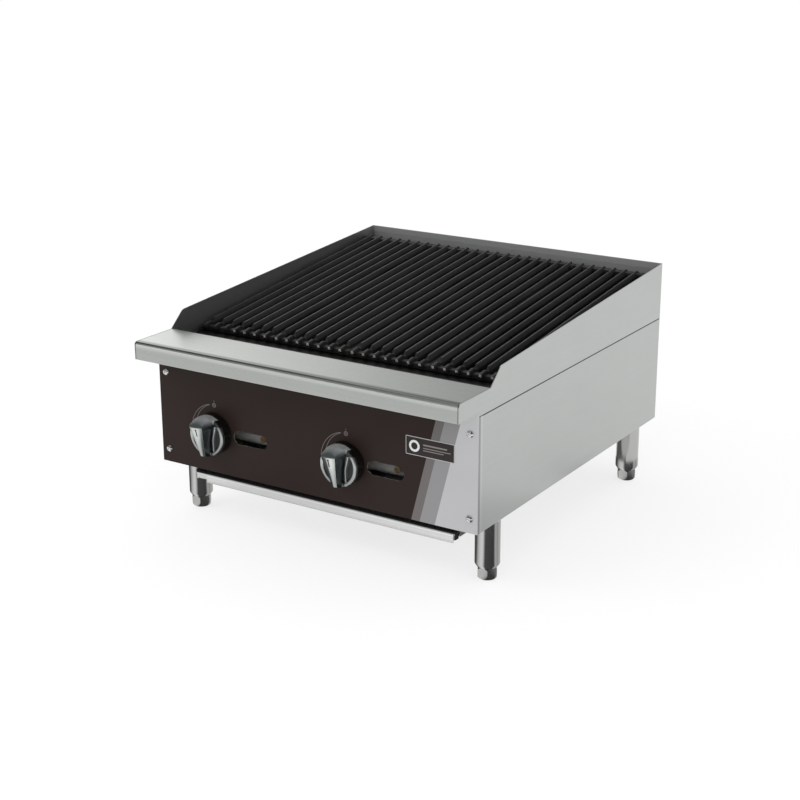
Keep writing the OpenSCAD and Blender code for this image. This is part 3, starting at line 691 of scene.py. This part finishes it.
def grate_mesh():
    """One casting in its own level frame, in mm: X across, Y along the bars from their front end, Z up from the ridge line."""
    pitch, length = 21.18, 493.0
    bar = [(-1.75, -0.75), (-1.1, -0.2), (0.0, 0.0), (1.1, -0.2), (1.75, -0.75), (2.3, -1.9), (3.4, -4.4), (4.35, -6.5), (4.6, -7.3), (4.45, -8.4),
           (4.0, -11.5), (3.5, -15.2), (2.9, -15.95), (0.0, -16.0), (-2.9, -15.95), (-3.5, -15.2), (-4.0, -11.5), (-4.45, -8.4), (-4.6, -7.3), (-4.35, -6.5), (-3.4, -4.4), (-2.3, -1.9)]
    # nose: (y, top, bottom, half width, how far the section has turned from the bar's to a rounded one)
    nose = [(-26.9, -5.2, -7.6, 1.7), (-26.4, -4.4, -8.8, 2.4), (-25.2, -3.7, -10.4, 2.9), (-23.5, -3.3, -11.8, 3.1), (-20.5, -3.0, -13.0, 3.2), (-17, -2.6, -13.8, 3.2),
            (-13.5, -2.3, -14.2, 3.2), (-11, -2.4, -14.5, 3.2), (-8.8, -3.4, -14.5, 3.2), (-7.0, -5.0, -14.5, 3.3), (-5.2, -6.0, -14.6, 3.3), (-3.6, -5.4, -14.8, 3.5), (-2.2, -3.6, -15.0, 3.6)]
    parts = []
    for k in range(-3, 4):
        cx = k * pitch
        rings = []
        for y, top, bot, hw in nose:
            ring = []
            for x, z in bar:
                s = (-z) / 16.0
                q = max(-1.0, min(1.0, x / 4.6))
                # rounded section
                px = hw * (abs(q) ** 0.55) * (1 if q >= 0 else -1) if s < 0.9 else x * hw / 3.5
                pz = top + (bot - top) * s
                if s < 0.12:
                    px = x * hw / 2.6
                ring.append((cx + px, y, pz))
            rings.append(ring)
        ys = [0.0, 1.0] + [3.0 + (length - 6.0) * i / 70 for i in range(71)] + [length - 1.2, length]
        for n_, y in enumerate(ys):
            first, last = n_ == 0, n_ == len(ys) - 1
            ring = []
            jx, jz = random.uniform(-0.10, 0.10), random.uniform(-0.10, 0.02)
            for x, z in bar:
                sx, sz = x, z
                if first or last:
                    sx, sz = x * 0.93, z * 0.97 - 0.45
                    if z > -2:
                        sz = z - 0.7
                ring.append((cx + sx + jx + random.uniform(-0.05, 0.05), y, sz + (jz if z > -15 else 0) + random.uniform(-0.03, 0.0)))
            rings.append(ring)
        parts.append(loft(rings))
    hw = GRATE_H
    parts.append(soft_box((-hw, -19, -17.5), (hw, -9, -8.6), 1.2))
    parts.append(soft_box((-hw, length - 12, -15.9), (hw, length - 0.4, -2.9), 1.4))
    for y in (0.25, 0.5, 0.75):
        parts.append(soft_box((-hw, length * y - 3, -15.5), (hw, length * y + 3, -11.5), 1.3))
    for s in (-1, 1):
        a, b = sorted((s * 3 * pitch, s * hw))
        parts.append(soft_box((a, -8.8, -14.6), (b, length - 0.2, -11.2), 1.1))
    v, f = merged(parts)
    return [Vector(p) * MM for p in v], f


def add_grates():
    v, f = grate_mesh()
    wear_and_highlight = []
    for q in f:
        c = sum((v[k] for k in q), Vector()) / len(q) / MM
        off = min(abs(c.x - 21.18 * k) for k in range(-3, 4))
        if c.y < -26.0:
            wear_and_highlight.append(2 if c.x > -12.0 else 3)
        elif off < 1.2 and c.z > -0.9 and c.y > 0.5:
            wear_and_highlight.append(1)
        else:
            wear_and_highlight.append(0)
    for i in range(1, 5):
        lo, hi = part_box(f"grate_{i}")
        cx = (lo.x + hi.x) / 2
        gy, gz = GRATE_FRONT
        rot = Matrix.Rotation(GA, 4, "X")
        # the casting frame is put where the CAD one is: ridge line through (gy, gz)
        world = Matrix.Translation((cx, gy, gz)) @ rot
        pts = [world @ p for p in v]
        lo_w = [min(p[a] for p in pts) for a in range(3)]
        hi_w = [max(p[a] for p in pts) for a in range(3)]
        ob = obj_from(f"grate_casting_{i}", pts, f, M["grate"], 40.0)
        ob.data.materials.append(M["grate_ridge"])
        ob.data.materials.append(M["grate_tip"])
        if len(ob.data.polygons) == len(wear_and_highlight):
            # the first bars by the left guard keep the plain casting at their tips, without the painted highlight,
            # since the guard shades them
            for q, k in zip(ob.data.polygons, wear_and_highlight):
                q.material_index = k if k < 3 else (0 if i == 1 else 2)
        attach(ob, f"grate_{i}_lift")
        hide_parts(f"grate_{i}")


# the CAD grate's own box gives the ridge line: its highest point is the back end of the ridge
g_lo, g_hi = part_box("grate_1")
GRATE_FRONT = (g_hi.y - 493.0 * MM * math.cos(GA) - 16.0 * MM * math.sin(GA), g_hi.z - 493.0 * MM * math.sin(GA))
add_grates()

# ------------------------------------------------------------------ legs and feet

for tag, b in (("front_left", "fl"), ("front_right", "fr"), ("back_left", "bl"), ("back_right", "br")):
    c, lo, hi = centre_of("leg_" + tag)
    R = (hi.x - lo.x) / 2
    z0, z1 = lo.z, nodes["left_side_panel"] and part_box("left_side_panel")[0].z
    # a real tube: a bore for the foot's spindle at the bottom, a hollow above it
    prof = [(0.0, z1 - 0.0030), (R - 0.0016, z1 - 0.0030), (R - 0.0016, 0.0380), (0.0083, 0.0380), (0.0083, z0), (R - 0.0045, z0), (R - 0.0036, z0 + 0.0004), (R - 0.0006, z0 + 0.0048), (R, z0 + 0.0065), (R, z0 + 0.0078),
            (R, z0 + 0.0300), (R, z1 - 0.0020), (R, z1 - 0.0008), (R - 0.0004, z1 - 0.0001), (0.0, z1 - 0.0001)]
    v, f = lathe(prof, (c.x, c.y, 0), 96)
    ob = obj_from("leg_tube_" + tag, v, f, M["leg"], 30.0)
    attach(ob, "chassis")
    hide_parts("leg_" + tag)

# ------------------------------------------------------------------ pull hem of the drip tray


def tray_hem():
    """The folded pull strip along the front of the tray: a rolled top edge, a flat face, a pressed line and a rolled bottom edge."""
    lo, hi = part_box("drip_tray")
    y0 = lo.y / MM
    sec = [(1.9, 75.0), (1.9, 84.2), (2.2, 85.0), (1.9, 85.9), (1.2, 86.4), (0.3, 86.5), (-0.4, 86.0), (-0.8, 85.2), (-0.95, 84.2), (-0.80, 83.3), (-0.70, 82.4),
           (-0.70, 80.5), (-0.70, 77.5), (-0.70, 74.8), (-0.62, 73.9), (-0.15, 73.3), (-0.15, 72.7), (-0.62, 72.1), (-0.80, 71.3), (-0.85, 70.4), (-0.65, 69.5), (-0.1, 68.9),
           (0.6, 68.7), (1.3, 69.0), (1.7, 69.8), (1.8, 71.0), (1.9, 73.0)]
    cy = sum(p[0] for p in sec) / len(sec)
    cz = sum(p[1] for p in sec) / len(sec)
    rings = []
    xs = [(-228.5, 0.72), (-228.3, 0.86), (-227.8, 0.95), (-227.1, 1.0)] + [(-225.0 + 39.5 * i, 1.0) for i in range(13)] + [(250.6, 1.0), (251.3, 0.95), (251.8, 0.86), (252.0, 0.72)]
    for x, k in xs:
        inset = (1.0 - k) * 4.0
        rings.append([(x, y0 + cy + (a - cy) * k, 67.6 + (cz - 68.7 + (b - cz) * (1.0 - inset / 17.8)) * 0.882) for a, b in sec])
    v, f = loft(rings)
    ob = obj_from("tray_pull_hem", [Vector(p) * MM for p in v], f, M["hem"], 50.0)
    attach(ob, "tray")
    return ob


tray_hem()

# ------------------------------------------------------------------ CAD nodes that stay

LOOK = {
    "left_side_panel": "sheet_y", "right_side_panel": "sheet_y", "rear_panel": "sheet_x", "control_panel": "panel", "front_ledge": "ledge",
    "left_splash": "guard_y", "right_splash": "guard_y", "rear_splash": "guard_x", "front_rail": "rail_painted_shade", "rear_rail": "frame_x",
    "side_rail_left": "frame_y", "side_rail_right": "frame_y", "grate_rest_front": "soot", "grate_rest_rear": "fire_x", "liner_left": "fire_y",
    "liner_right": "fire_y", "liner_rear": "fire_x", "heat_shield": "fire_x", "radiant_rest_front": "fire_x", "radiant_rest_rear": "fire_x",
    "burner_rest": "fire_x", "radiant_1": "iron", "radiant_2": "iron", "radiant_3": "iron", "radiant_4": "iron", "burner_left": "iron",
    "burner_right": "iron", "air_shutter_left": "frame_x", "air_shutter_right": "frame_x", "orifice_left": "brass", "orifice_right": "brass",
    "valve_left": "brass", "valve_right": "brass", "stem_left": "brass", "stem_right": "brass", "manifold_pipe": "pipe", "supply_pipe": "pipe",
    "pilot_valve_left": "brass", "pilot_valve_right": "brass", "pilot_tube_left": "tube", "pilot_tube_right": "tube", "drip_tray": "tray",
    "tray_rail_left": "frame_y", "tray_rail_right": "frame_y", "panel_screws": "screw",
    "foot_front_left": "foot", "foot_front_right": "foot", "foot_back_left": "foot", "foot_back_right": "foot",
    "knob_left": "chrome", "knob_right": "chrome", "grate_1": "grate", "grate_2": "grate", "grate_3": "grate", "grate_4": "grate",
    "leg_front_left": "leg", "leg_front_right": "leg", "leg_back_left": "leg", "leg_back_right": "leg",
}
SHEETS = {"left_side_panel", "right_side_panel", "rear_panel", "left_splash", "right_splash", "rear_splash", "front_ledge", "drip_tray",
          "tray_rail_left", "tray_rail_right", "front_rail"}
for name, ob in nodes.items():
    ob.data.materials.clear()
    ob.data.materials.append(M[LOOK[name]])
    if name in SHEETS:
        w = ob.modifiers.new("weld", "WELD")
        w.merge_threshold = 0.00002
        b = ob.modifiers.new("edge", "BEVEL")
        b.width = 0.0010 if name == "front_ledge" else 0.00035
        b.segments = 2
        b.limit_method = "ANGLE"
        b.angle_limit = math.radians(38)
        b.harden_normals = True
        b.use_clamp_overlap = True

# ------------------------------------------------------------------ stage, light, camera


def disc(name, r, z, mat, n=96):
    verts = [(r * math.cos(2 * math.pi * i / n), r * math.sin(2 * math.pi * i / n), z) for i in range(n)]
    verts += [(x, y, z - 0.02) for x, y, _ in verts[:n]]
    faces = [tuple(range(n)), tuple(reversed(range(n, 2 * n)))]
    faces += [(i, n + i, n + (i + 1) % n, (i + 1) % n) for i in range(n)]
    ob = obj_from(name, verts, faces, mat)
    ob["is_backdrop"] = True
    return ob


def only_reflected(ob):
    """A studio card: it lights the object's shine and nothing else."""
    ob.visible_camera = False
    ob.visible_diffuse = False
    ob.visible_transmission = False
    ob.visible_volume_scatter = False
    ob.visible_shadow = False
    ob.visible_glossy = True


def emitter(g, value):
    em = g.nt.nodes.new("ShaderNodeEmission")
    g.link(value, em.inputs["Strength"])
    em.inputs["Color"].default_value = (0.99, 1.0, 0.985, 1.0)
    g.nt.nodes.remove(g.bsdf)
    g.link(em.outputs[0], g.out.inputs[0])
    return g.m


def floor_paper():
    g = Graph("floor_paper")
    tint = g.noise(0.8, 2.0, 0.5)
    g.colour(g.mix(g.remap(tint, 0.3, 0.7, 0.0, 1.0), (0.25, 0.25, 0.25), (0.26, 0.26, 0.26)))
    g.rough(0.9)
    g.set(Specular_IOR_Level=0.0)
    g.bsdf.inputs["Emission Color"].default_value = (1, 1, 1, 1)
    g.bsdf.inputs["Emission Strength"].default_value = 0.75
    return g.m


def floor_sheen():
    """What bright metal sees of the studio floor: paler with distance, dim under the object and towards its front right."""
    g = Graph("floor_sheen")
    x, y, z = g.xyz()
    dx = g.math("MAXIMUM", g.math("SUBTRACT", g.math("ABSOLUTE", x), 0.305), 0.0)
    dy = g.math("MAXIMUM", g.math("SUBTRACT", g.math("ABSOLUTE", y), 0.300), 0.0)
    d = g.math("SQRT", g.math("ADD", g.math("MULTIPLY", dx, dx), g.math("MULTIPLY", dy, dy)))
    e = g.remap(d, 0.05, 0.75, 0.90, 0.98, True)
    ahead = g.remap(y, -1.35, -0.55, 0.70, 1.15, True)
    front = g.remap(y, -0.42, -0.30, 1.0, 0.0, True)
    e = g.math("ADD", g.math("MULTIPLY", e, g.math("SUBTRACT", 1.0, front)), g.math("MULTIPLY", ahead, front))
    under = g.remap(d, 0.0, 0.03, 0.16, 1.0, True)
    e = g.math("MULTIPLY", e, under)

    # round each leg the card is striped by direction, as a product set is with flags
    for lx, ly, reach in LEG_SPOTS:
        px = g.math("SUBTRACT", x, lx)
        py = g.math("SUBTRACT", y, ly)
        r = g.math("SQRT", g.math("ADD", g.math("MULTIPLY", px, px), g.math("MULTIPLY", py, py)))
        u = g.math("ADD", g.math("MULTIPLY", px, 0.540), g.math("MULTIPLY", py, -0.842))
        w = g.math("ADD", g.math("MULTIPLY", px, 0.842), g.math("MULTIPLY", py, 0.540))
        turn = g.math("ARCTAN2", w, u)
        ramp = g.nt.nodes.new("ShaderNodeValToRGB")
        g.link(g.remap(turn, -math.pi, math.pi, 0.0, 1.0), ramp.inputs[0])
        stops = [(-180, 0.10), (-112, 0.09), (-98, 0.42), (-78, 0.78), (-52, 1.0), (-40, 0.80), (-25, 0.09), (50, 0.06), (64, 0.54), (84, 0.50), (89, 0.26), (95, 0.54), (150, 0.60), (180, 0.5)]
        els = ramp.color_ramp.elements
        while len(els) < len(stops):
            els.new(0.5)
        for el, (deg, val) in zip(els, stops):
            el.position = (deg + 180) / 360
            el.color = (val, val, val, 1.0)
        grey = g.nt.nodes.new("ShaderNodeRGBToBW")
        g.link(ramp.outputs[0], grey.inputs[0])
        e = g.mix_value(e, g.math("MULTIPLY", grey.outputs[0], 1.15), g.remap(r, reach * 0.9, reach, 1.0, 0.0, True))
    return emitter(g, e)


LEG_SPOTS = []
for tag in ("front_left", "front_right", "back_left", "back_right"):
    c, lo, hi = centre_of("leg_" + tag)
    LEG_SPOTS.append((c.x, c.y, 0.38 if tag == "front_right" else 0.34 if tag == "front_left" else 0.13))


def dome_sheen():
    """What bright metal sees of the studio above the floor: a bright wall at the left and back left, dimmer to the right."""
    g = Graph("dome_sheen")
    x, y, z = g.xyz()
    psi = g.math("MULTIPLY", g.math("ARCTAN2", g.math("MULTIPLY", x, -1.0), y), 180.0 / math.pi)
    rise = g.math("DIVIDE", z, g.math("SQRT", g.math("ADD", g.math("MULTIPLY", x, x), g.math("MULTIPLY", y, y))))
    e = g.remap(psi, 24.0, 54.0, 0.36, 1.80, True)
    e = g.math("SUBTRACT", e, g.remap(psi, 58.0, 82.0, 0.0, 1.62, True))
    # front right, where the photographer stands: -90 is right, +-180 is front
    side = g.math("MULTIPLY", g.remap(psi, -175.0, -165.0, 0.0, 1.0, True), g.remap(psi, -100.0, -90.0, 1.0, 0.0, True))
    e = g.mix_value(e, 0.08, side)
    e = g.mix_value(e, 0.95, g.remap(rise, 1.6, 3.0, 0.0, 1.0, True))
    return emitter(g, e)


def dome():
    n, rows, r = 96, 24, 30.0
    verts, faces = [], []
    for k in range(rows):
        a = math.pi / 2 * k / rows
        verts += [(r * math.cos(a) * math.cos(2 * math.pi * i / n), r * math.cos(a) * math.sin(2 * math.pi * i / n), r * math.sin(a)) for i in range(n)]
    verts.append((0.0, 0.0, r))
    for k in range(rows - 1):
        for i in range(n):
            j = (i + 1) % n
            faces.append((k * n + i, k * n + j, (k + 1) * n + j, (k + 1) * n + i))
    faces += [((rows - 1) * n + i, (rows - 1) * n + (i + 1) % n, len(verts) - 1) for i in range(n)]
    ob = obj_from("dome_sheen", verts, faces, dome_sheen(), 180.0)
    ob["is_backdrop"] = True
    return ob


paper = disc("floor", 40.0, -0.0002, floor_paper())
paper.visible_glossy = False
only_reflected(disc("floor_sheen", 30.0, -0.0001, floor_sheen()))
only_reflected(dome())

world = bpy.data.worlds.new("studio")
bpy.context.scene.world = world
world.use_nodes = True
world.node_tree.nodes["Background"].inputs[0].default_value = (1.0, 1.0, 1.0, 1.0)
world.node_tree.nodes["Background"].inputs[1].default_value = 1.0


def area(name, loc, target, size, power, colour=(1, 1, 1)):
    d = bpy.data.lights.new(name, "AREA")
    d.shape = "RECTANGLE"
    d.size, d.size_y = size
    d.energy = power
    d.color = colour
    o = bpy.data.objects.new(name, d)
    bpy.context.scene.collection.objects.link(o)
    o.location = loc
    o.rotation_mode = "QUATERNION"
    o.rotation_quaternion = (Vector(target) - Vector(loc)).to_track_quat("-Z", "Y")
    return o


key = area("key", (-1.6, -2.2, 2.6), (0, 0, 0.25), (1.6, 1.2), 22)
key.visible_glossy = False

AZ, EL, ROLL = math.radians(32.676), math.radians(18.263), math.radians(0.179)
back = Vector((math.sin(AZ) * math.cos(EL), -math.cos(AZ) * math.cos(EL), math.sin(EL)))
right = Vector((0, 0, 1)).cross(back).normalized()
up = back.cross(right)
r2 = right * math.cos(ROLL) - up * math.sin(ROLL)
u2 = right * math.sin(ROLL) + up * math.cos(ROLL)
cam_data = bpy.data.cameras.new("camera")
cam_data.sensor_width = 36.0
cam_data.lens = 1605.88 * 36.0 / 800.0
cam_data.clip_start, cam_data.clip_end = 0.05, 100.0
cam = bpy.data.objects.new("camera", cam_data)
bpy.context.scene.collection.objects.link(cam)
rot = Matrix((r2, u2, back)).transposed().to_4x4()
cam.matrix_world = Matrix.Translation((1.40441, -2.22008, 1.04432)) @ rot
bpy.context.scene.camera = cam

bpy.context.scene.view_settings.view_transform = "Standard"
bpy.context.scene.view_settings.look = "None"

lo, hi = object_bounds()
